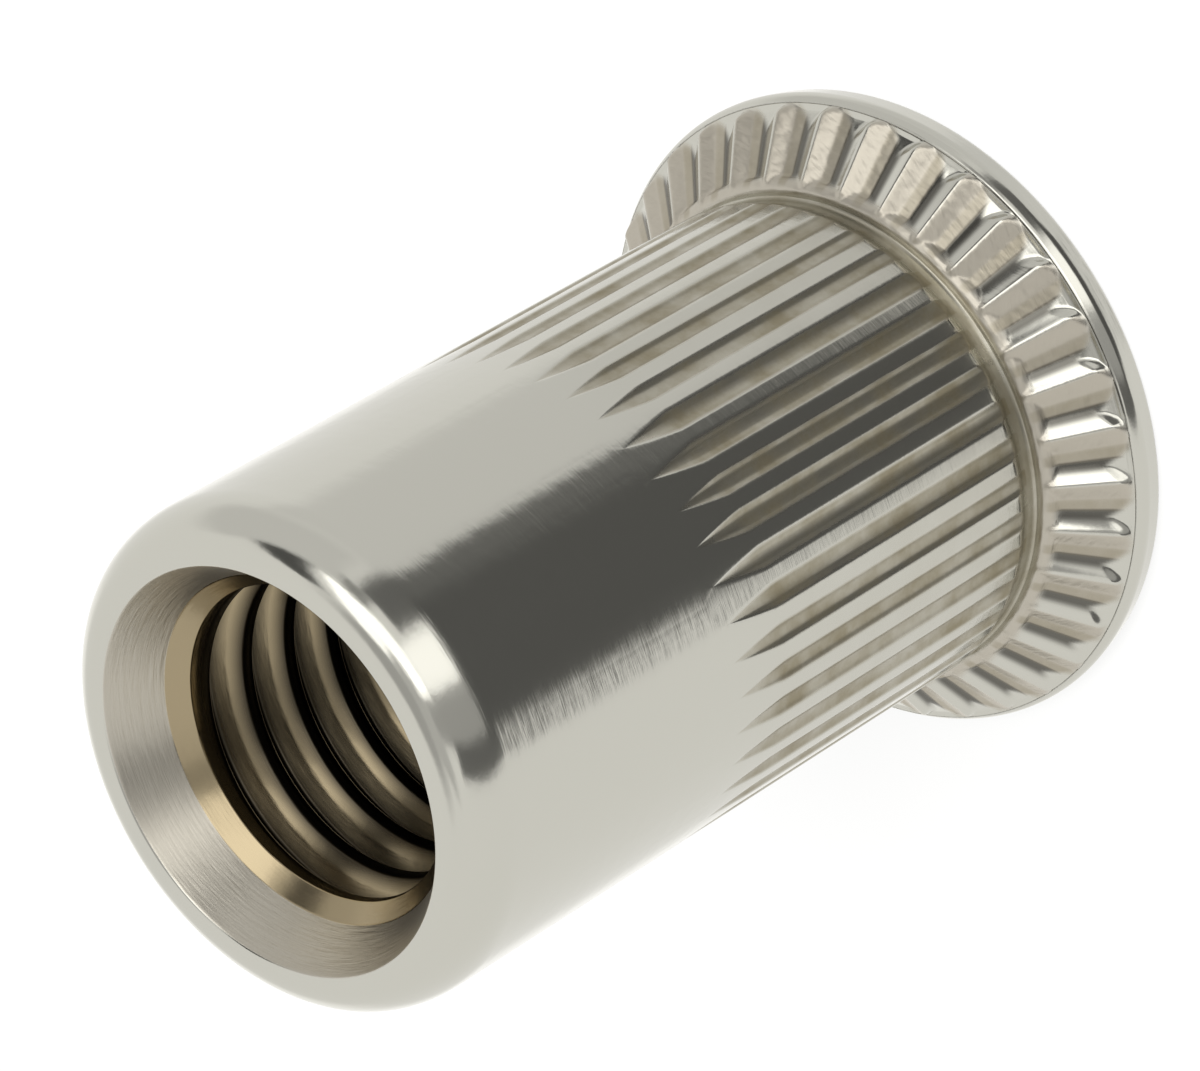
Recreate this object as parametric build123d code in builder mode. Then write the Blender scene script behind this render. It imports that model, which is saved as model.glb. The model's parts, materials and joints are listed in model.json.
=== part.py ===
from build123d import *
from math import atan, degrees, radians, tan
import os

# Blind rivet nut, size M8, with a 105 degree countersunk head, a knurled collapse zone and an open end.
# It stands on its head: +Z runs from the head's flat face, at z = 0, to the open threaded end.
# All sizes are in millimetres.

# Shank
length = 19.8
shank_radius = 5.5
end_round_radial = 0.8          # the open end is rolled over in an arc that leaves the shank smoothly
end_round_axial = 1.2
lip_width = 0.25                # flat ring that is left at the open end
lip_chamfer = 0.08

# Head
head_radius = 7.2
head_angle = 105.0              # included angle of the countersink
rim_height = 0.65               # cylindrical edge between the flat face and the cone
rim_chamfer = 0.08

# Neck between the head's cone and the knurl
neck_depth = 0.25
neck_height = 0.8
neck_rise = 0.75                # axial length over which the knurl's ridges rise from the neck to the shank

# Bore, from the open end to the head
thread_hole_radius = 3.4        # wall at the thread's crests, M8 x 1.25
entry_angle = 60.0              # included angle of the entry countersink
lead_in_width = 0.36            # radial width of the short cone between the entry and the thread
lead_in_angle = 90.0
thread_length = 8.2
collapse_wall = 0.9             # thin wall that folds when the nut is set, from the shank to the bore
bore_step_angle = 120.0
face_chamfer = 0.25

# Straight knurl: grooves pressed into the shank, each with a pointed run-out towards the open end
groove_count = 42
groove_depth = 0.2
groove_floor_width = 0.27
groove_flank_angle = 31.0       # from the radial direction
groove_start = 7.84             # from the open end to the tips of the grooves
groove_run_out = 1.6

# Ribs that stand on the cone and stop the set nut from turning
rib_count = 35
rib_width = 0.76
rib_height = 0.28
rib_end_bevel = 0.2
rib_neck_gap = 0.15             # radial, from the neck to the ribs
rib_rim_gap = 0.12              # and from the ribs to the head's edge
rib_phase = 4.54                # degrees from the first groove

overlap = 0.15                  # how far cutters stand proud and ribs reach below their surface

# Derived places
cone_slope = tan(radians(head_angle / 2))
neck_radius = shank_radius - neck_depth
neck_start = rim_height + (head_radius - neck_radius) / cone_slope
neck_end = neck_start + neck_height
rib_inner_radius = neck_radius + rib_neck_gap
rib_outer_radius = head_radius - rib_rim_gap
entry_radius = shank_radius - end_round_radial - lip_width - lip_chamfer
entry_inner_radius = thread_hole_radius + lead_in_width
entry_depth = lip_chamfer + (entry_radius - entry_inner_radius) / tan(radians(entry_angle / 2))
lead_in_end = length - entry_depth - lead_in_width / tan(radians(lead_in_angle / 2))
thread_end = lead_in_end - thread_length
collapse_bore_radius = shank_radius - collapse_wall
collapse_start = thread_end - (collapse_bore_radius - thread_hole_radius) / tan(radians(bore_step_angle / 2))
groove_tip = length - groove_start
groove_phase = 180 / groove_count    # degrees, so that +X runs through the middle of a ridge
groove_full = groove_tip - groove_run_out


def turned_blank():
    """The head, shank and stepped bore as one turned section."""
    with BuildPart() as blank:
        with BuildSketch(Plane.XZ):
            with BuildLine():
                Polyline(
                    (collapse_bore_radius + face_chamfer, 0),
                    (head_radius - rim_chamfer, 0),
                    (head_radius, rim_chamfer),
                    (head_radius, rim_height),
                    (neck_radius, neck_start),
                    (neck_radius, neck_end),
                    (shank_radius, neck_end + neck_rise),
                    (shank_radius, length - end_round_axial),
                )
                TangentArc(
                    (shank_radius, length - end_round_axial),
                    (shank_radius - end_round_radial, length),
                    tangent=(0, 1),
                )
                Polyline(
                    (shank_radius - end_round_radial, length),
                    (entry_radius + lip_chamfer, length),
                    (entry_radius, length - lip_chamfer),
                    (entry_inner_radius, length - entry_depth),
                    (thread_hole_radius, lead_in_end),
                    (thread_hole_radius, thread_end),
                    (collapse_bore_radius, collapse_start),
                    (collapse_bore_radius, face_chamfer),
                    (collapse_bore_radius + face_chamfer, 0),
                )
            make_face()
        revolve(axis=Axis.Z)
    return blank.part


def groove_cutter():
    """One knurl groove: straight from the neck, then rising and narrowing to a point."""
    floor_radius = shank_radius - groove_depth
    top_radius = shank_radius + groove_depth + overlap
    top_width = groove_floor_width + 2 * (top_radius - floor_radius) * tan(radians(groove_flank_angle))
    with BuildPart() as cutter:
        with BuildSketch(Plane.XY.offset(groove_full)) as section:
            with BuildLine():
                Polyline(
                    (floor_radius, -groove_floor_width / 2),
                    (top_radius, -top_width / 2),
                    (top_radius, top_width / 2),
                    (floor_radius, groove_floor_width / 2),
                    close=True,
                )
            make_face()
        extrude(amount=-(groove_full - (neck_end - neck_height / 2)))
        extrude(section.sketch, amount=groove_run_out, taper=degrees(atan(groove_depth / groove_run_out)))
    return cutter.part


def head_rib():
    """One half-round bar with bevelled ends, lying on the cone in the XZ plane."""
    inner = Vector(rib_inner_radius, 0, rim_height + (head_radius - rib_inner_radius) / cone_slope)
    outer = Vector(rib_outer_radius, 0, rim_height + (head_radius - rib_outer_radius) / cone_slope)
    along = (outer - inner).normalized()
    outwards = Vector(-along.Z, 0, along.X)
    rib_length = (outer - inner).length
    with BuildPart() as rib:
        with BuildSketch(Plane(origin=inner, x_dir=outwards.cross(along), z_dir=along)):
            with BuildLine():
                ThreePointArc((-rib_width / 2, 0), (0, rib_height), (rib_width / 2, 0))
                Polyline(
                    (rib_width / 2, 0),
                    (rib_width / 2, -overlap),
                    (-rib_width / 2, -overlap),
                    (-rib_width / 2, 0),
                )
            make_face()
        extrude(amount=rib_length)
        with BuildSketch(Plane(origin=inner, x_dir=along, z_dir=along.cross(outwards))):
            with BuildLine():
                Polyline(
                    (0, -overlap),
                    (0, 0),
                    (rib_end_bevel, rib_height),
                    (rib_length - rib_end_bevel, rib_height),
                    (rib_length, 0),
                    (rib_length, -overlap),
                    close=True,
                )
            make_face()
        extrude(amount=rib_width, both=True, mode=Mode.INTERSECT)
    return rib.part


with BuildPart() as rivet_nut:
    add(turned_blank())
    with PolarLocations(0, groove_count, start_angle=groove_phase):
        add(groove_cutter(), mode=Mode.SUBTRACT)
    with PolarLocations(0, rib_count, start_angle=groove_phase + rib_phase):
        add(head_rib())

rivet_nut.part.label = "rivet_nut"
os.makedirs("parts", exist_ok=True)
export_step(rivet_nut.part, "parts/rivet_nut.step")

box = rivet_nut.part.bounding_box()
print("size", box.size, "volume", rivet_nut.part.volume, "faces", len(rivet_nut.part.faces()))
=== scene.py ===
import json
import math
import bpy
import numpy as np
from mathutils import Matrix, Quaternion, Vector


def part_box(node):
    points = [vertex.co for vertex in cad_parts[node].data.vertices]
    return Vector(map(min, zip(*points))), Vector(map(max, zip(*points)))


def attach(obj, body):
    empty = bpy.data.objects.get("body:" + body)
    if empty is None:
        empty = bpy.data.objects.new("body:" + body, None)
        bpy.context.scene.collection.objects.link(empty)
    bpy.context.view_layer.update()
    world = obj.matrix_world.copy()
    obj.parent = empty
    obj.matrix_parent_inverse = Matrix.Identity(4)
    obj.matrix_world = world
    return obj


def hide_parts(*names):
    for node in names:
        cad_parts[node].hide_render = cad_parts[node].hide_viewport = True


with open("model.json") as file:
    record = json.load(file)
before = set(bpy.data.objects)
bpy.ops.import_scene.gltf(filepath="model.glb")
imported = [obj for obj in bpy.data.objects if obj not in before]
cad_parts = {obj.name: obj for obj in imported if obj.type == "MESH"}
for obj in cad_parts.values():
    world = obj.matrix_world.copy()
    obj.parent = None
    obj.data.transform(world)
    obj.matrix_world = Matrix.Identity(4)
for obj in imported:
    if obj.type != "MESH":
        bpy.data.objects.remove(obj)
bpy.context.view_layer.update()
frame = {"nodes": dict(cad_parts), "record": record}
print("frame loaded:", ", ".join(sorted(frame["nodes"])))

mm = 0.001
mounts = {mount["name"]: mount for mount in frame["record"]["mounts"]}
lowCorner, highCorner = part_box("rivet_nut")
scene = bpy.context.scene
scene.view_settings.view_transform = "Standard"


def linearColour(hexText):  # sRGB hex to the linear colour that the shaders want
    parts = [int(hexText[i:i + 2], 16) / 255 for i in (1, 3, 5)]
    return tuple(c / 12.92 if c <= 0.04045 else ((c + 0.055) / 1.055) ** 2.4 for c in parts) + (1.0,)


def addNode(tree, kind, settings=None, links=None):
    node = tree.nodes.new(kind)
    for name, value in (settings or {}).items():
        if isinstance(name, int) or name in node.inputs:
            node.inputs[name].default_value = value
        else:
            setattr(node, name, value)
    for name, source in (links or {}).items():
        tree.links.new(source, node.inputs[name])
    return node


def newMaterial(name):
    material = bpy.data.materials.new(name)
    material.use_nodes = True
    material.node_tree.nodes.clear()
    return material, material.node_tree


def smoothStep(value):
    t = np.clip(value, 0.0, 1.0)
    return t * t * (3 - 2 * t)


def fade(value, none, full):  # 0 at none and 1 at full, whichever of the two is the higher
    return smoothStep((value - none) / (full - none))


def directionFrom(azimuth, elevation):  # degrees, counted from +X towards +Y
    turn, rise = math.radians(azimuth), math.radians(elevation)
    return Vector((math.cos(turn) * math.cos(rise), math.sin(turn) * math.cos(rise), math.sin(rise)))


# lengths are in mm and angles in degrees
nut = dict(
    columns=840,             # round the outside: 20 for each groove and 24 for each rib
    boreColumns=168,         # round the bore
    rimRound=0.12,
    rimConeRound=0.34,
    rimTaper=13.0,           # the rim's side leans in towards the head's face
    coneAngle=52.5,          # from the axis
    neckDepth=0.17,
    neckHeight=0.30,
    neckRise=0.34,
    neckFillet=0.14,
    riseRound=0.4,           # softens both ends of the rise from the neck to the shank
    endRoundRadial=0.80,
    endRoundAxial=1.20,
    lipWidth=0.25,
    lipRound=0.09,
    leadInWidth=0.36,
    stepSlope=60.0,
    faceChamfer=0.25,
    flatRow=0.05,            # a close row keeps the shading of a flat ring flat up to its edge
    faceRow=0.04,            # the same on the head's face
    neckDullness=0.8,
    entrySatin=0.8,
    seed=11,
)
knurl = dict(
    count=42,
    firstAngle=180 / 42,
    depth=0.07,
    floorHalf=0.07,          # from a groove's middle to where its flank starts
    edgeHalf=0.275,          # and to where the flank meets the shank
    pressedEdge=0.09,        # the pressed metal begins across this width
    ridgeDullness=0.25,      # of the ridges' tops beside the neck, falling to none at the tips
    tipFromEnd=7.84,
    runOut=1.50,
    tipSharpness=0.75,       # under 1 gives the tips bulging sides
    leastWidth=0.02,         # share of the width that is left past the tips
    pastEdge=1.04,           # a groove's own columns spread a little past its edge
    runOutRows=14,
    runOutReach=1.12,        # share of the run-out that those rows cover
    rowCrowding=1.25,        # over 1 brings them closer together towards the tips
    straightRow=3.0,         # one more row this far below them
    plainRow=0.4,            # and one this far above the tips
    depthFall=1.2,           # the powers by which depth and dullness fall towards the tips
    dullnessFall=0.3,
    neckDullStart=0.1,       # the neck's dullness sets in this far below the ridges' full height
    neckDullFade=0.3,
    tipScatter=0.07,
    widthScatter=0.05,
)
ribs = dict(
    count=35,
    firstAngle=180 / 42 + 4.54,
    height=0.205,
    crestAt=0.20,            # places run from -1 to 1 across a pitch, towards +Y from +X
    topSlope=24.0,           # the satin face that falls away from the crest, in degrees
    footSlope=5.0,           # and the one behind it, which carries painted shade
    slopeRadius=6.3,         # the slopes are true here, half way up the cone
    cornerRound=0.014,
    flankHollow=0.5,         # how hollow the polished flank on the crest's other side is
    noseAt=-0.25,            # the outer ends are rounded about this place
    noseLength=0.42,
    noseOuterFade=0.044,     # and rise across this much outside their line
    noseInnerFade=0.176,     # and this much inside it
    innerFade=0.12,
    satinPlaces=(0.22, 0.10),     # where the satin sets in, and where it is full
    dullPlaces=(-0.44, -0.60),    # the same for the painted shade on the foot
    dullEndPlaces=(-1.0, -0.9),
    dirtPlaces=(0.48, 0.78),      # and for the painted shade on the gap's two sides
    dirtBehindPlaces=(-0.90, -0.98),
    # how strong the painted shade on the ribs' foot faces is
    footDullness=0.6,
    # how dark the painted shade in the gaps between the ribs is
    gapDirt=0.8,
    neckGap=0.12,
    rimGap=0.12,
    ringHeight=0.13,         # a ring joins the ribs' inner ends
    ringWidth=0.34,
    ringOuterFade=0.18,
    ringInnerFade=(-0.08, 0.04),  # from the ribs' inner line
    ringSatin=0.9,
    ringRows=(0.40, -0.04),       # close rows lie between these, from the ribs' inner line
    rimRaise=0.05,           # the head's edge stands this far over the gaps between the ribs
    rimSlope=0.12,
    lengthScatter=0.05,
    heightScatter=0.08,
)
thread = dict(
    pitch=1.25,
    majorRadius=4.0,
    crestFlat=0.30,
    rootFlat=0.16,
    cornerWidth=0.05,
    fadeIn=0.45,
    endMargin=0.015,         # rows that come this near an end run into the ring there
)

length = (highCorner.z - lowCorner.z) / mm
headRadius = (highCorner.x - lowCorner.x) / 2 / mm
shankRadius = mounts["shank"]["dims"]["r_mm"]
threadRadius = mounts["thread"]["dims"]["r_mm"]
foldRadius = mounts["screw_clearance"]["dims"]["r_mm"]
rimHeight = mounts["countersunk_seat"]["pos_m"][2] / mm
threadMiddle = mounts["thread"]["pos_m"][2] / mm
threadTop = threadMiddle + mounts["thread"]["dims"]["length_mm"] / 2
threadFoot = threadMiddle - mounts["thread"]["dims"]["length_mm"] / 2
random = np.random.RandomState(nut["seed"])
edgeSlack = 0.02             # rows stand this far off an edge, and none are closer together than rowGap
rowGap = 0.01

neckRadius = shankRadius - nut["neckDepth"]
neckStart = rimHeight + (headRadius - neckRadius) / math.tan(math.radians(nut["coneAngle"]))
neckEnd = neckStart + nut["neckHeight"]
ridgeStart = neckEnd + nut["neckRise"]
grooveTip = length - knurl["tipFromEnd"]
endRoundStart = length - nut["endRoundAxial"]
endRoundInner = shankRadius - nut["endRoundRadial"]
entryOuter = endRoundInner - nut["lipWidth"] - nut["lipRound"]
leadInTop = threadTop + nut["leadInWidth"]
ribInner = neckRadius + ribs["neckGap"]
ribOuter = headRadius - ribs["rimGap"]
shoulderRise = ribs["rimRaise"] / math.sin(math.radians(nut["coneAngle"]))
shoulderReach = nut["rimConeRound"] * math.tan(math.radians((nut["coneAngle"] + nut["rimTaper"]) / 2))
shoulderInner = headRadius - shoulderReach * math.sin(math.radians(nut["coneAngle"])) - edgeSlack
evenAngles = np.arange(nut["columns"]) * 2 * math.pi / nut["columns"]
boreAngles = np.arange(nut["boreColumns"]) * 2 * math.pi / nut["boreColumns"]


def straight(start, end, inner=0, hold=0.03):
    # points from start to end, with a close one beside each end that keeps the shading flat
    start, end = np.array(start, float), np.array(end, float)
    share = min(hold / np.linalg.norm(end - start), 0.25)
    stops = [0, share, *[share + (1 - 2 * share) * (i + 1) / (inner + 1) for i in range(inner)], 1 - share, 1]
    return [tuple(start + (end - start) * stop) for stop in stops]


def bend(centre, radii, first, last, steps):
    # points on an arc of an ellipse, angles from the radial direction
    angles = np.radians(np.linspace(first, last, steps + 1))
    return list(zip(centre[0] + radii[0] * np.cos(angles), centre[1] + radii[1] * np.sin(angles)))


def corner(before, at, after, radius, steps):
    # a round of that radius between two straight stretches
    before, at, after = (np.array(p, float) for p in (before, at, after))
    back, onward = ((p - at) / np.linalg.norm(p - at) for p in (before, after))
    half = math.acos(float(np.clip(back @ onward, -1, 1))) / 2
    reach = radius / math.tan(half)
    centre = at + (back + onward) / np.linalg.norm(back + onward) * radius / math.sin(half)
    start, end = at + back * reach - centre, at + onward * reach - centre
    turn = math.atan2(start[0] * end[1] - start[1] * end[0], start @ end)
    points = []
    for angle in np.linspace(0, turn, steps + 1):
        c, s = math.cos(angle), math.sin(angle)
        points.append(tuple(centre + (start[0] * c - start[1] * s, start[0] * s + start[1] * c)))
    return points


def joined(*stretches):
    points = []
    for stretch in stretches:
        for p in stretch:
            if not points or math.dist(p, points[-1]) > 1e-4:
                points.append(p)
    return points


def grooveAngles(half):
    # each column's angle where it keeps its place on the knurl, the groove that it belongs to and how far
    # it lies from that groove's middle; half holds the places across half a pitch
    per = nut["columns"] // knurl["count"]
    firstColumn = round(knurl["firstAngle"] * nut["columns"] / 360)
    index = np.arange(nut["columns"]) - firstColumn + per // 2
    copy, place = index // per, index % per - per // 2
    offset = np.sign(place) * half[copy % knurl["count"], np.abs(place)]
    angles = math.radians(knurl["firstAngle"]) + copy * 2 * math.pi / knurl["count"] + offset
    return angles, copy % knurl["count"], np.abs(offset)


# where columns stand across half a groove, as shares of it, and across half the ridge beside it
grooveShares = np.array([0, 0.26, 0.44, 0.54, 0.64, 0.74, 0.85, 0.97])
ridgeShares = np.array([0.22, 0.6, 1.0])

ribEndsOut = ribOuter + random.uniform(-1, 0.4, ribs["count"]) * ribs["lengthScatter"]
ribEndsIn = ribInner + random.uniform(-0.6, 1, ribs["count"]) * ribs["lengthScatter"]
ribHeights = ribs["height"] * (1 - random.uniform(0, 1, ribs["count"]) * ribs["heightScatter"])
grooveTips = grooveTip + random.uniform(-1, 1, knurl["count"]) * knurl["tipScatter"]
grooveWidths = 1 + random.uniform(-1, 1, knurl["count"]) * knurl["widthScatter"]


def ribRow(radius):
    # one row across the cone: how far each column stands off it, how satin it is, and how much painted shade
    # its foot face and its gaps carry
    turn = (evenAngles - math.radians(ribs["firstAngle"])) * ribs["count"] / math.pi
    copy = np.round(turn / 2).astype(int) % ribs["count"]
    place = turn - 2 * np.round(turn / 2)                # from -1 to 1 across one pitch
    halfPitch = math.pi * ribs["slopeRadius"] / ribs["count"]
    high, soft = ribHeights[copy], ribs["cornerRound"]
    climb = (1 - place) / (1 - ribs["crestAt"])
    flank = high * climb * (1 - ribs["flankHollow"] * (1 - climb))
    top = high + (place - ribs["crestAt"]) * halfPitch * math.tan(math.radians(ribs["topSlope"]))
    foot = (1 + place) * halfPitch * math.tan(math.radians(ribs["footSlope"]))
    back = (top + foot + np.hypot(top - foot, soft)) / 2             # the higher of the two, softly
    roof = (flank + back - np.hypot(flank - back, soft * 2)) / 2     # the lower of the two, softly

    fromNose = np.abs((place - ribs["noseAt"] + 1) % 2 - 1)
    outerEnd, innerEnd = ribEndsOut[copy] - ribs["noseLength"] * fromNose ** 2, ribEndsIn[copy]
    kept = fade(radius, outerEnd + ribs["noseOuterFade"], outerEnd - ribs["noseInnerFade"])
    kept = kept * fade(radius, innerEnd, innerEnd + ribs["innerFade"])
    ringEnd = ribInner + ribs["ringWidth"]
    ring = fade(radius, ringEnd, ringEnd - ribs["ringOuterFade"])
    ring = ring * fade(radius - ribInner, *ribs["ringInnerFade"])
    edge = fade(radius, shoulderInner - ribs["rimSlope"], shoulderInner)
    lift = np.maximum(roof * kept, max(ribs["ringHeight"] * ring, ribs["rimRaise"] * edge))

    satin = np.maximum(kept * fade(place, *ribs["satinPlaces"]), ribs["ringSatin"] * ring)
    # painted shade on each rib's foot face, the side that faces away from the light
    dullAndShade = kept * fade(place, *ribs["dullPlaces"]) * fade(place, *ribs["dullEndPlaces"])
    # painted shade on both sides of the gaps between the ribs
    shadeShare = (fade(place, *ribs["dirtPlaces"]) + fade(place, *ribs["dirtBehindPlaces"])) * kept * (1 - ring)
    return lift, satin, ribs["footDullness"] * dullAndShade, ribs["gapDirt"] * shadeShare


def knurlRow(height):
    # one row across the knurl: its angles, how deep each column is pressed, and how dull it is
    halfPitch = math.pi / knurl["count"]
    along = np.clip((height - grooveTips) / knurl["runOut"] + 1, 0, 1)
    width = grooveWidths * np.maximum((1 - along) ** knurl["tipSharpness"], knurl["leastWidth"]) / shankRadius
    edge, floor = knurl["edgeHalf"] * width, knurl["floorHalf"] * width
    reach = edge[:, None] * knurl["pastEdge"]
    half = np.concatenate([reach * grooveShares, reach + (halfPitch - reach) * ridgeShares], axis=1)
    angles, copy, offset = grooveAngles(half)
    left = 1 - along[copy]
    depth = knurl["depth"] * fade(offset, edge[copy], floor[copy]) * left ** knurl["depthFall"]
    dullAndShade = smoothStep((edge[copy] - offset) * shankRadius / knurl["pressedEdge"])
    dullAndShade = dullAndShade * left ** knurl["dullnessFall"]
    worn = knurl["ridgeDullness"] * np.clip((grooveTip - height) / (grooveTip - ridgeStart), 0, 1)
    neckDullEdge = ridgeStart - knurl["neckDullStart"]
    nearNeck = nut["neckDullness"] * fade(height, neckDullEdge, neckDullEdge - knurl["neckDullFade"])
    return angles, depth, np.maximum(dullAndShade, max(worn, nearNeck))


def outsideRows():
    # the outside's section from the head's face to the lip, as (kind, radius, height)
    lean = math.tan(math.radians(nut["rimTaper"]))
    rimTop, coneTop = (headRadius, rimHeight), (neckRadius, neckStart)
    shoulderTop, shoulderAim = (headRadius, rimHeight + shoulderRise), (neckRadius, neckStart + shoulderRise)
    neckTop, ridgeFoot = (neckRadius, neckEnd), (shankRadius, ridgeStart)
    rimFoot = (headRadius - (rimHeight + shoulderRise) * lean, 0)
    rimBottom = corner((0, 0), rimFoot, shoulderTop, nut["rimRound"], steps=3)
    rimShoulder = corner(rimFoot, shoulderTop, shoulderAim, nut["rimConeRound"], steps=8)
    neckCorner = corner(rimTop, coneTop, neckTop, nut["neckFillet"], steps=4)
    riseFoot = corner(coneTop, neckTop, ridgeFoot, nut["riseRound"], steps=3)
    riseHead = corner(neckTop, ridgeFoot, (shankRadius, grooveTip), nut["riseRound"], steps=4)
    noseFoot = ribOuter - ribs["noseLength"] - ribs["noseOuterFade"] - ribs["noseInnerFade"]
    ribRadii = np.unique(np.concatenate([      # close rows where the ribs' ends are round
        np.linspace(shoulderInner + rowGap, shoulderInner - ribs["rimSlope"], 7),
        np.linspace(shoulderInner - ribs["rimSlope"], noseFoot, 10),
        np.linspace(noseFoot, ribInner + ribs["ringRows"][0], 5),
        np.linspace(ribInner + ribs["ringRows"][0], ribInner + ribs["ringRows"][1], 10)]))[::-1]
    ribFeet = rimHeight + (headRadius - ribRadii) / math.tan(math.radians(nut["coneAngle"]))
    drops = np.linspace(knurl["runOutReach"], 0, knurl["runOutRows"]) ** knurl["rowCrowding"]
    runOut = grooveTip + knurl["tipScatter"] - knurl["runOut"] * drops
    rimSide = straight(rimBottom[-1], rimShoulder[0])[1:-1]
    endRound = bend((endRoundInner, endRoundStart), (nut["endRoundRadial"], nut["endRoundAxial"]),
                    0, 90, steps=12)
    rows = [("plain", *p) for p in joined([(rimBottom[0][0] - nut["faceRow"], 0.0)],
                                          rimBottom, rimSide, rimShoulder)]
    rows += [("ribs", r, z) for r, z in zip(ribRadii, ribFeet) if r > neckCorner[0][0] + rowGap]
    rows += [("neck", *p) for p in joined(neckCorner, straight(neckCorner[-1], riseFoot[0])[1:-1])]
    rows += [("knurl", *p) for p in joined(riseFoot, straight(riseFoot[-1], riseHead[0])[1:-1], riseHead)]
    rows += [("knurl", shankRadius, z) for z in [runOut[0] - knurl["straightRow"], *runOut]]
    rows += [("plain", *p) for p in joined(
        [(shankRadius, grooveTip + knurl["plainRow"]), (shankRadius, endRoundStart - nut["flatRow"])],
        endRound,
        [(endRoundInner - edgeSlack, length), (endRoundInner - edgeSlack - nut["flatRow"], length)])]
    return rows


def boreRows():
    # the bore's section down from the lip, in two stretches: above the thread and below it
    lipCorner = (entryOuter + nut["lipRound"] / 2, length)
    entryFoot = (threadRadius + nut["leadInWidth"], leadInTop)
    lip = corner((endRoundInner, length), lipCorner, entryFoot, nut["lipRound"], steps=5)
    above = joined([(lip[0][0] + nut["flatRow"], length)], lip, straight(lip[-1], entryFoot, 1),
                   straight(entryFoot, (threadRadius, threadTop)))
    stepDrop = (foldRadius - threadRadius) / math.tan(math.radians(nut["stepSlope"]))
    stepFoot = (foldRadius, threadFoot - stepDrop)
    mouth, faceEdge = (foldRadius, nut["faceChamfer"]), (foldRadius + nut["faceChamfer"], 0.0)
    below = joined(straight((threadRadius, threadFoot), stepFoot), straight(stepFoot, mouth, 1),
                   straight(mouth, faceEdge), [(faceEdge[0] + nut["flatRow"], 0.0)])
    return above, below


# what each point carries for the metal: 0 where it is plain turned steel, up to 1
maskNames = ("pressed", "bored", "satin", "tooled", "dirty")


def buildNut():
    # one closed skin, made ring by ring from the head's face up the outside, over the lip and down the bore
    vertices, faces = [], []
    masks = {name: [] for name in maskNames}

    def addRing(angles, radii, heights, **shares):
        count = len(angles)
        radii, heights = np.broadcast_to(radii, count), np.broadcast_to(heights, count)
        first = len(vertices)
        vertices.extend(zip(radii * np.cos(angles) * mm, radii * np.sin(angles) * mm, heights * mm))
        for name, values in masks.items():
            values.extend(np.broadcast_to(shares.get(name, 0.0), count))
        return list(range(first, first + count))

    def bridge(before, after):
        # faces between two rings; where one has several points to the other's one, they have more corners
        count = min(len(before), len(after))
        stepBefore, stepAfter = len(before) // count, len(after) // count
        for i in range(count):
            start = [before[(i * stepBefore + k) % len(before)] for k in range(stepBefore + 1)]
            end = [after[(i * stepAfter + k) % len(after)] for k in range(stepAfter, -1, -1)]
            faces.append(start + end)

    coneNormal = (math.cos(math.radians(nut["coneAngle"])), math.sin(math.radians(nut["coneAngle"])))
    rings = []
    for kind, radius, height in outsideRows():
        if kind == "ribs":
            lift, satin, dullAndShade, shadeShare = ribRow(radius)
            rings.append(addRing(evenAngles, radius + lift * coneNormal[0], height + lift * coneNormal[1],
                                 pressed=dullAndShade, satin=satin, tooled=satin, dirty=shadeShare))
        elif kind == "knurl":
            angles, depth, dullAndShade = knurlRow(height)
            rings.append(addRing(angles, np.minimum(shankRadius - depth, radius), height, pressed=dullAndShade))
        else:
            rings.append(addRing(evenAngles, radius, height, pressed=nut["neckDullness"] * (kind == "neck")))

    above, below = boreRows()
    for radius, height in above:
        belowEntry = height < leadInTop + edgeSlack
        onEntry = not belowEntry and height < length - nut["lipRound"] / 3
        rings.append(addRing(boreAngles, radius, height, bored=float(belowEntry),
                             satin=nut["entrySatin"] * onEntry))
    for before, after in zip(rings, rings[1:]):
        bridge(before, after)
    footRing = addRing(boreAngles, threadRadius, threadFoot, bored=1.0)
    addThread(vertices, faces, masks, rings[-1], footRing)
    lower = [footRing] + [addRing(boreAngles, radius, height, bored=1.0) for radius, height in below[1:]]
    for before, after in zip(lower, lower[1:]):
        bridge(before, after)
    bridge(lower[-1], rings[0])
    return vertices, faces, masks


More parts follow.
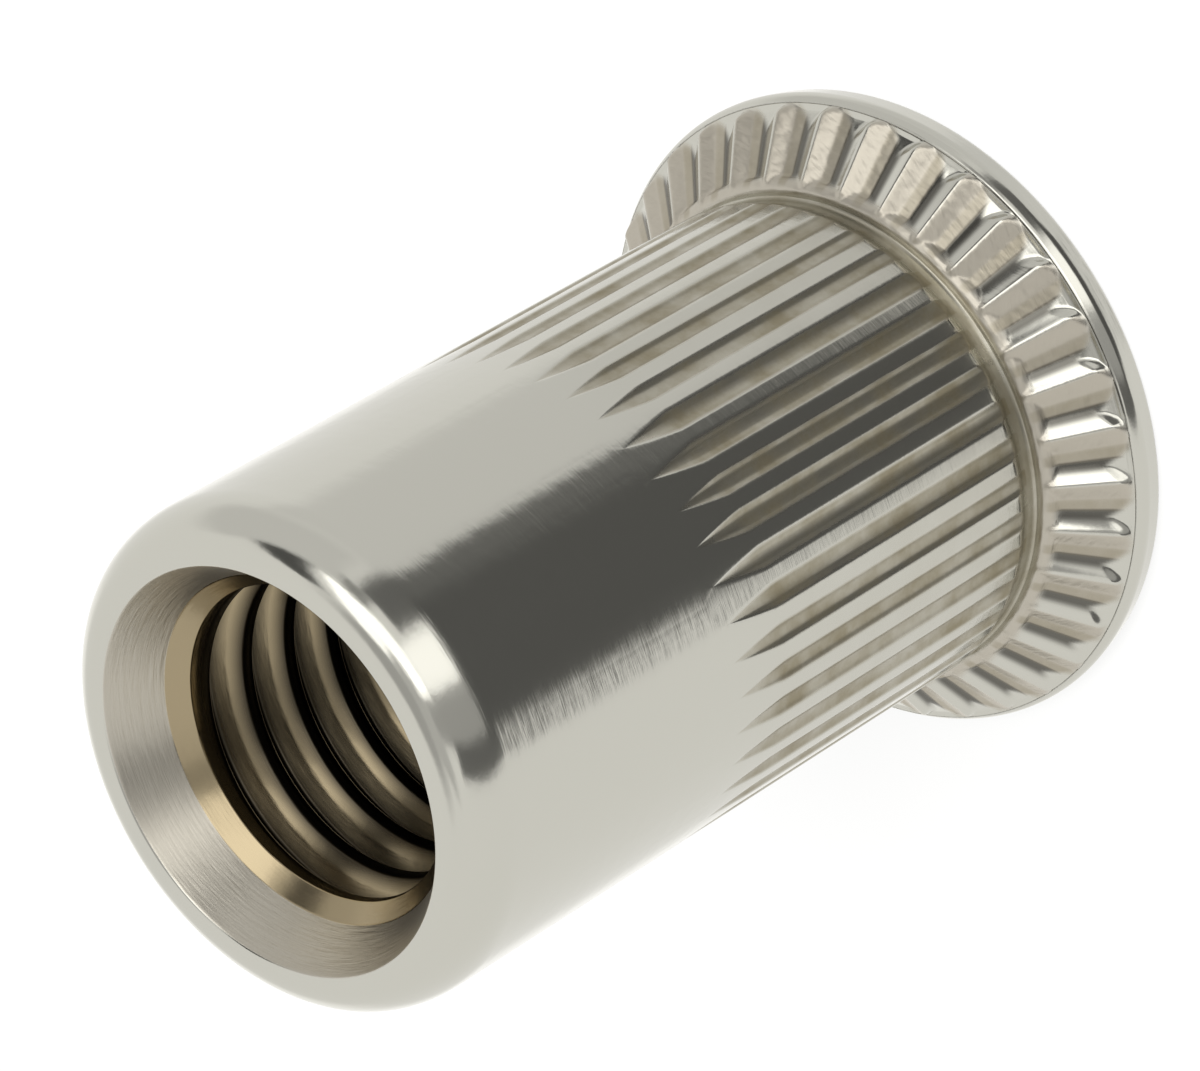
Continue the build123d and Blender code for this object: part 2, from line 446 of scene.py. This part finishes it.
def addThread(vertices, faces, masks, topRing, footRing):
    # rows follow the helix, and where it leaves the thread's length they end on the ring there
    halfPitch, halfCorner = thread["pitch"] / 2, thread["cornerWidth"] / 2
    crestEdge, rootEdge = thread["crestFlat"] / 2, halfPitch - thread["rootFlat"] / 2
    half = np.array([0, crestEdge - halfCorner, crestEdge + halfCorner, (crestEdge + rootEdge) / 2,
                     rootEdge - halfCorner, rootEdge + halfCorner, halfPitch])
    places = np.concatenate([-half[:0:-1], half[:-1]])       # across one pitch, from root to root
    per, count = len(places), len(boreAngles)
    grid = {}
    rowCount = (int((threadTop - threadFoot) / thread["pitch"]) + 3) * per      # with turns to spare
    for row in range(rowCount + per + 1):
        turn, place = divmod(row, per)
        share = float(np.clip((abs(places[place]) - crestEdge) / (rootEdge - crestEdge), 0, 1))
        for column, angle in enumerate(boreAngles):
            height = threadFoot + places[place] + thread["pitch"] * (turn - 1 + column / count)
            if height > threadTop - thread["endMargin"]:
                grid[row, column] = topRing[column]
            elif height < threadFoot + thread["endMargin"]:
                grid[row, column] = footRing[column]
            else:
                cut = float(fade(min(threadTop - height, height - threadFoot), 0, thread["fadeIn"]))
                radius = threadRadius + (thread["majorRadius"] - threadRadius) * share * cut
                grid[row, column] = len(vertices)
                vertices.append((radius * math.cos(angle) * mm, radius * math.sin(angle) * mm, height * mm))
                for name, values in masks.items():
                    # painted shade on the thread's crests and roots
                    values.append({"bored": 1.0, "dirty": cut * abs(share * 2 - 1)}.get(name, 0.0))
    for row in range(rowCount):
        for column in range(count):
            ahead, lift = (0, per) if column + 1 == count else (column + 1, 0)
            quad = [grid[row, column], grid[row + 1, column],
                    grid[row + 1 + lift, ahead], grid[row + lift, ahead]]
            kept = [v for k, v in enumerate(quad) if v != quad[k - 1]]
            if len(kept) > 2:
                faces.append(kept)


def makeNut():
    vertices, faces, masks = buildNut()
    mesh = bpy.data.meshes.new("nut_skin")
    mesh.from_pydata(vertices, [], faces)
    for name, values in masks.items():
        mesh.attributes.new(name, "FLOAT", "POINT").data.foreach_set("value", np.array(values, np.float32))
    mesh.polygons.foreach_set("use_smooth", np.ones(len(mesh.polygons), bool))
    mesh.update()
    piece = bpy.data.objects.new("nut_skin", mesh)
    scene.collection.objects.link(piece)
    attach(piece, "root")
    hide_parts("rivet_nut")
    triangles = sum(len(face) - 2 for face in faces)
    state = "mended" if mesh.validate() else "valid"
    print("nut built:", len(vertices), "vertices,", triangles, "triangles,", state)
    return piece


steel = dict(
    turned="#CDCCC4",        # the shank, the cone and the rim
    pressed="#9A927D",       # where the knurl's dies squeezed it: duller and browner; on the ribs' foot faces the same colour is painted shade
    satin="#C0BAAE",         # on the ribs and the entry
    bored="#A6987C",
    dirty="#35312B",         # painted shade between the ribs and on the thread's crests and roots
    turnedRoughness=0.13,
    pressedRoughness=0.42,
    satinRoughness=0.40,
    boredRoughness=0.2,
    dirtyRoughness=0.3,
    waveSize=0.9,            # mm across the faint waves that bend the reflections
    waveDepth=0.02,          # mm, as the other depths are
    hairSpacing=0.06,        # mm between the turning's hairlines, drawn coarse enough to show
    hairStretch=14,          # their length, in spacings
    hairDepth=0.01,
    toolSpacing=0.13,        # mm between the tool marks that cross the ribs
    toolStretch=3,
    toolDepth=0.03,
    grainSize=1.1,           # mm across the mottling of the pressed metal
    grainDepth=0.01,
)


def coldFormedSteel():
    # stainless steel, cold formed and turned: a pale, slightly warm grey that mirrors softly, with hairlines
    # that run round it; where the knurl's dies pressed it, it is duller and browner, and the ribs are satin;
    # painted shade darkens the ribs' foot faces, the gaps between the ribs and the thread's crests and roots
    material, tree = newMaterial("stainless_steel_cold_formed")
    place = addNode(tree, "ShaderNodeTexCoord").outputs["Object"]
    masks = {name: addNode(tree, "ShaderNodeAttribute", {"attribute_name": name}).outputs["Fac"]
             for name in maskNames}
    patterns = {}                              # with sizes in mm, across the axis and along it
    for name, across, along, detail, roughness in (
            ("wave", steel["waveSize"], steel["waveSize"] / 2, 2.0, 0.5),
            ("hair", steel["hairSpacing"] * steel["hairStretch"], steel["hairSpacing"], 3.0, 0.6),
            ("tool", steel["toolSpacing"] * steel["toolStretch"], steel["toolSpacing"], 1.0, 0.5),
            ("grain", steel["grainSize"], steel["grainSize"], 5.0, 0.62)):
        stretch = (1 / (across * mm), 1 / (across * mm), 1 / (along * mm))
        mapped = addNode(tree, "ShaderNodeMapping", {"Scale": stretch}, {"Vector": place})
        patterns[name] = addNode(tree, "ShaderNodeTexNoise",
                                 {"Scale": 1.0, "Detail": detail, "Roughness": roughness},
                                 {"Vector": mapped.outputs["Vector"]}).outputs["Fac"]

    # the mottling takes up to nearly half of the pressed metal's dullness, and of the ribs' painted shade,
    # away
    mottled = addNode(tree, "ShaderNodeMapRange",
                      {"From Min": 0.35, "From Max": 0.65, "To Min": 0.55, "To Max": 1.0},
                      {"Value": patterns["grain"]})
    pressedAndShadedShare = addNode(tree, "ShaderNodeMath", {"operation": "MULTIPLY"},
                           {0: masks["pressed"], 1: mottled.outputs["Result"]})
    shares = {"satin": masks["satin"], "bored": masks["bored"], "dirty": masks["dirty"],
              "pressed": pressedAndShadedShare.outputs[0]}
    colour, roughness = None, None
    for name, share in shares.items():         # each finish is laid over the ones before it, and so is the painted shade
        colour = addNode(tree, "ShaderNodeMix", {"data_type": "RGBA", 6: linearColour(steel["turned"]),
                                                 7: linearColour(steel[name])},
                         {0: share, **({6: colour.outputs[2]} if colour else {})})
        roughness = addNode(tree, "ShaderNodeMix", {"data_type": "FLOAT", 2: steel["turnedRoughness"],
                                                    3: steel[name + "Roughness"]},
                            {0: share, **({2: roughness.outputs[0]} if roughness else {})})

    hairStrength = addNode(tree, "ShaderNodeMapRange", {"To Min": 0.2, "To Max": 0.8},
                           {"Value": masks["satin"]}).outputs["Result"]
    bump = None
    for name, strength, link in (("wave", 0.3, {}), ("hair", 1.0, {"Strength": hairStrength}),
                                 ("tool", 1.0, {"Strength": masks["tooled"]}), ("grain", 0.35, {})):
        before = {"Normal": bump.outputs["Normal"]} if bump else {}
        bump = addNode(tree, "ShaderNodeBump", {"Strength": strength, "Distance": steel[name + "Depth"] * mm},
                       {"Height": patterns[name], **link, **before})
    shader = addNode(tree, "ShaderNodeBsdfPrincipled", {"Metallic": 1.0},
                     {"Base Color": colour.outputs[2], "Roughness": roughness.outputs[0],
                      "Normal": bump.outputs["Normal"]})
    addNode(tree, "ShaderNodeOutputMaterial", {}, {"Surface": shader.outputs["BSDF"]})
    return material


nutSkin = makeNut()
nutSkin.data.materials.append(coldFormedSteel())
print("steel applied")

view = dict(
    azimuth=-59.01,          # from +X towards +Y
    elevation=41.29,
    distance=148.16,
    roll=120.6,              # turns the open end down to the left
    lens=216.84,
    aside=0.69,              # the frame's middle lies this far beside the axis
    below=0.744,             # and this far below the nut's middle
)


def makeCamera():
    camera = bpy.data.objects.new("camera", bpy.data.cameras.new("camera"))
    scene.collection.objects.link(camera)
    aim = directionFrom(view["azimuth"] + 90, 0) * view["aside"] + Vector((0, 0, length / 2 - view["below"]))
    toCamera = directionFrom(view["azimuth"], view["elevation"])
    camera.location = (aim + toCamera * view["distance"]) * mm
    camera.rotation_mode = "QUATERNION"
    camera.rotation_quaternion = (-toCamera).to_track_quat("-Z", "Y") @ Quaternion(
        (0, 0, 1), -math.radians(view["roll"]))
    camera.data.lens = view["lens"]
    camera.data.clip_start = 0.01
    scene.camera = camera


studio = dict(
    floorColour="#EDEDEA",
    floorGlow=0.78,          # share of the floor's white that shows whatever light falls on it
    floorSize=4000,
    floorDrop=0.02,          # the floor lies this far under the nut, so that the two don't flicker
    # a black disc under the nut paints the shade there, seen up the bore
    feltColour="#1A1917",
    feltRadius=6,
    feltDrop=0.01,
    keyAzimuth=-31,
    keyElevation=55,
    keyDistance=320,
    keySize=260,
    keyPower=1.2,
)

# what stands round the nut and shows in the metal: the white tent, and in it softboxes and black flags.
# lean is how far a patch moves in azimuth for each degree up, and level is its brightness, 1 being white
tent = dict(level=0.95, colour="#FDFCF9")
patchNames = ("name", "azimuth", "elevation", "halfAzimuth", "halfElevation", "lean", "soft", "level")
patches = [dict(zip(patchNames, row)) for row in (
    ("zenith", 0, 90, 200, 20, 0, 8, 0.5),
    ("leftCorner", -80, 63, 42, 12, 0, 5, 0.62),
    ("backWall", 122, -25, 25, 26, 0, 8, 1.15),
    ("rightWall", 24, 6, 33, 26, 0, 7, 0.76),
    ("rightTable", 6, -46, 34, 26, 0, 7, 0.80),
    ("betweenFlags", -76, 6, 14, 48, 0, 4, 0.45),
    ("leftFlag", -95, -4, 7.5, 36, 0, 2.5, 0.16),
    ("rightFlag", -27, -16, 11.5, 32, 0, 3, 0.17),
    ("rightFlagTip", -15, 27, 7, 12, 0, 3, 0.33),
    ("strip", -54, 4, 11, 28, 0, 3, 1.6),
    ("softbox", -31, 45, 35, 11, 0, 4, 2.2),
    ("softboxTop", -12, 63, 20, 9, 0, 4, 1.9),
    ("topFlag", 31, 46, 14, 16, 0.5, 4, 0.09),
    ("bandFoot", -60.5, -48, 31, 20, 0, 5, 0.12),
)]


def paperFloor():
    # matt white paper: it shows as white and keeps the nut's soft shadow
    material, tree = newMaterial("white_paper")
    path = addNode(tree, "ShaderNodeLightPath")
    seen = addNode(tree, "ShaderNodeMath", {"operation": "MAXIMUM"},
                   {0: path.outputs["Is Camera Ray"], 1: path.outputs["Is Glossy Ray"]})
    looking = addNode(tree, "ShaderNodeMath", {"operation": "MAXIMUM"},
                      {0: seen.outputs[0], 1: path.outputs["Is Transmission Ray"]})
    share = addNode(tree, "ShaderNodeMath", {"operation": "MULTIPLY", 1: studio["floorGlow"]},
                    {0: looking.outputs[0]})
    paper = addNode(tree, "ShaderNodeBsdfDiffuse", {"Color": linearColour(studio["floorColour"])})
    glow = addNode(tree, "ShaderNodeEmission", {"Color": (1, 1, 1, 1), "Strength": 1.0})
    both = addNode(tree, "ShaderNodeMixShader", {},
                   {0: share.outputs[0], 1: paper.outputs[0], 2: glow.outputs[0]})
    addNode(tree, "ShaderNodeOutputMaterial", {}, {"Surface": both.outputs[0]})
    return material


def paintedShadeSheet():
    # a black sheet of painted shade, standing for the shade under the nut: it swallows nearly all light
    material, tree = newMaterial("black_wool_felt")
    shadeSurface = addNode(tree, "ShaderNodeBsdfDiffuse", {"Color": linearColour(studio["feltColour"])})
    addNode(tree, "ShaderNodeOutputMaterial", {}, {"Surface": shadeSurface.outputs["BSDF"]})
    return material


def layFlat(name, outline, drop, material):
    # a flat sheet of the stage, under the nut
    mesh = bpy.data.meshes.new(name)
    mesh.from_pydata([(x * mm, y * mm, 0) for x, y in outline], [], [tuple(range(len(outline)))])
    mesh.materials.append(material)
    sheet = bpy.data.objects.new(name, mesh)
    scene.collection.objects.link(sheet)
    sheet.location.z = lowCorner.z - drop * mm
    return sheet


def makeFloor():
    half = studio["floorSize"] / 2
    square = [(-half, -half), (half, -half), (half, half), (-half, half)]
    floor = layFlat("floor", square, studio["floorDrop"], paperFloor())
    floor.visible_glossy = False       # the metal shows the tent below the horizon too


def makeBoreStop():
    # a black disc of painted shade under the nut keeps the tent's light from coming up the bore
    angles = np.linspace(0, 2 * math.pi, 48, endpoint=False)
    circle = list(zip(studio["feltRadius"] * np.cos(angles), studio["feltRadius"] * np.sin(angles)))
    layFlat("bore_stop", circle, studio["feltDrop"], paintedShadeSheet())


def patchMask(tree, azimuth, elevation, patch):
    # one inside the patch, falling to zero across its soft edge
    up = addNode(tree, "ShaderNodeMath", {"operation": "SUBTRACT", 1: math.radians(patch["elevation"])},
                 {0: elevation})
    aside = addNode(tree, "ShaderNodeMath", {"operation": "SUBTRACT", 1: math.radians(patch["azimuth"])},
                    {0: azimuth})
    leaning = addNode(tree, "ShaderNodeMath", {"operation": "MULTIPLY_ADD", 1: -patch["lean"]},
                      {0: up.outputs[0], 2: aside.outputs[0]})
    wrapped = addNode(tree, "ShaderNodeMath", {"operation": "WRAP", 1: math.pi, 2: -math.pi},
                      {0: leaning.outputs[0]})
    inside = []
    for offset, half in ((wrapped, patch["halfAzimuth"]), (up, patch["halfElevation"])):
        away = addNode(tree, "ShaderNodeMath", {"operation": "ABSOLUTE"}, {0: offset.outputs[0]})
        inside.append(addNode(tree, "ShaderNodeMapRange", {
            "interpolation_type": "SMOOTHSTEP", "From Min": math.radians(half + patch["soft"]),
            "From Max": math.radians(half - patch["soft"])}, {"Value": away.outputs[0]}).outputs["Result"])
    return addNode(tree, "ShaderNodeMath", {"operation": "MULTIPLY"}, {0: inside[0], 1: inside[1]}).outputs[0]


def makeWorld():
    world = bpy.data.worlds.new("studio")
    world.use_nodes = True
    tree = world.node_tree
    tree.nodes.clear()
    towards = addNode(tree, "ShaderNodeTexCoord").outputs["Generated"]
    direction = addNode(tree, "ShaderNodeSeparateXYZ", {}, {0: towards})
    azimuth = addNode(tree, "ShaderNodeMath", {"operation": "ARCTAN2"},
                      {0: direction.outputs["Y"], 1: direction.outputs["X"]}).outputs[0]
    elevation = addNode(tree, "ShaderNodeMath", {"operation": "ARCSINE"},
                        {0: direction.outputs["Z"]}).outputs[0]
    level = None
    for patch in patches:
        mask = patchMask(tree, azimuth, elevation, patch)
        level = addNode(tree, "ShaderNodeMix", {"data_type": "FLOAT", 2: tent["level"], 3: patch["level"]},
                        {0: mask, **({2: level.outputs[0]} if level else {})})
    inMetal = addNode(tree, "ShaderNodeBackground", {"Color": linearColour(tent["colour"])},
                      {"Strength": level.outputs[0]})
    white = addNode(tree, "ShaderNodeBackground", {"Color": (1, 1, 1, 1), "Strength": 1.0})
    path = addNode(tree, "ShaderNodeLightPath")
    both = addNode(tree, "ShaderNodeMixShader", {}, {0: path.outputs["Is Glossy Ray"], 1: white.outputs[0],
                                                     2: inMetal.outputs[0]})
    addNode(tree, "ShaderNodeOutputWorld", {}, {"Surface": both.outputs[0]})
    scene.world = world


def makeSoftbox():
    light = bpy.data.objects.new("key_softbox", bpy.data.lights.new("key_softbox", "AREA"))
    scene.collection.objects.link(light)
    towards = directionFrom(studio["keyAzimuth"], studio["keyElevation"])
    light.location = towards * studio["keyDistance"] * mm
    light.rotation_mode = "QUATERNION"
    light.rotation_quaternion = (-towards).to_track_quat("-Z", "Y")
    light.data.size = studio["keySize"] * mm
    light.data.energy = studio["keyPower"]
    light.visible_camera = False
    light.visible_glossy = False       # the tent's own softbox patch shows in the metal


makeCamera()
makeFloor()
makeBoreStop()
makeWorld()
makeSoftbox()
print("studio ready")
